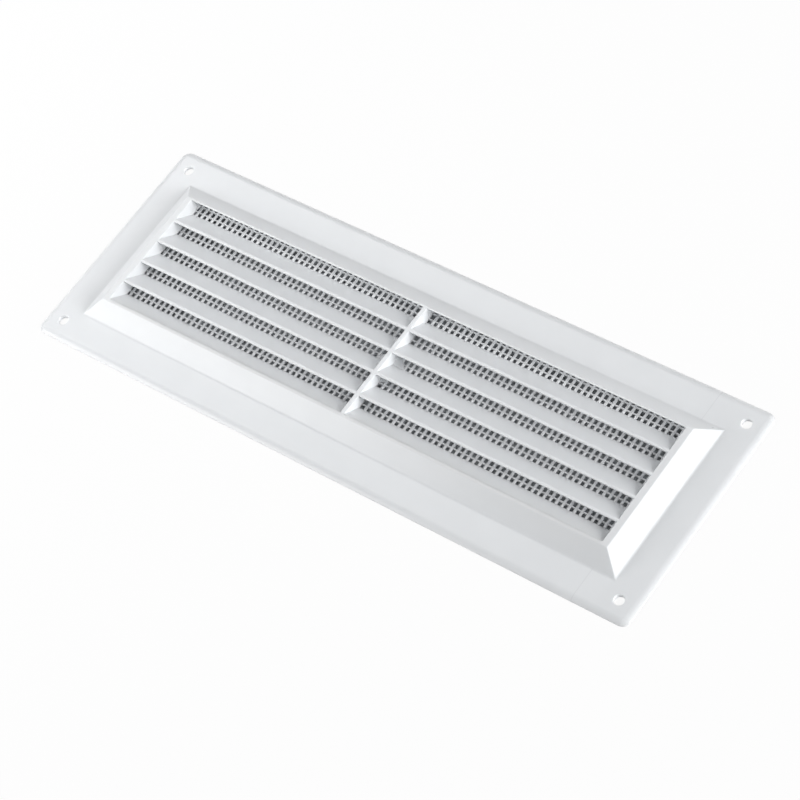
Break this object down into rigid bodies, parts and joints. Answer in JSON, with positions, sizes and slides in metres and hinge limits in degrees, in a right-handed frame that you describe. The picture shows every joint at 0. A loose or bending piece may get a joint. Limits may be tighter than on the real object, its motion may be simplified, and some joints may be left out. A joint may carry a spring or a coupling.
{
  "type": "louvre wall vent",
  "caption": "Rectangular white plastic louvre vent with a raised sloping surround, fixed blades, a middle mullion, corner screw holes and a separate fly screen behind the blades.",
  "frame": {"origin": "centre of the plane of the plate's flat back, which lies against the wall", "axes": "+X along the long side, +Y towards the side that is fixed uppermost, +Z out of the louvred front, away from the wall"},
  "size_m": [0.263, 0.09, 0.0069],
  "materials": {
    "face_plastic": "satin to gloss white, as moulded",
    "screen_plastic": "satin white, as moulded"
  },
  "bodies": {
    "root": {"louvre_face": "face_plastic", "screen_front": "screen_plastic", "screen_back": "screen_plastic"}
  },
  "joints": []
}
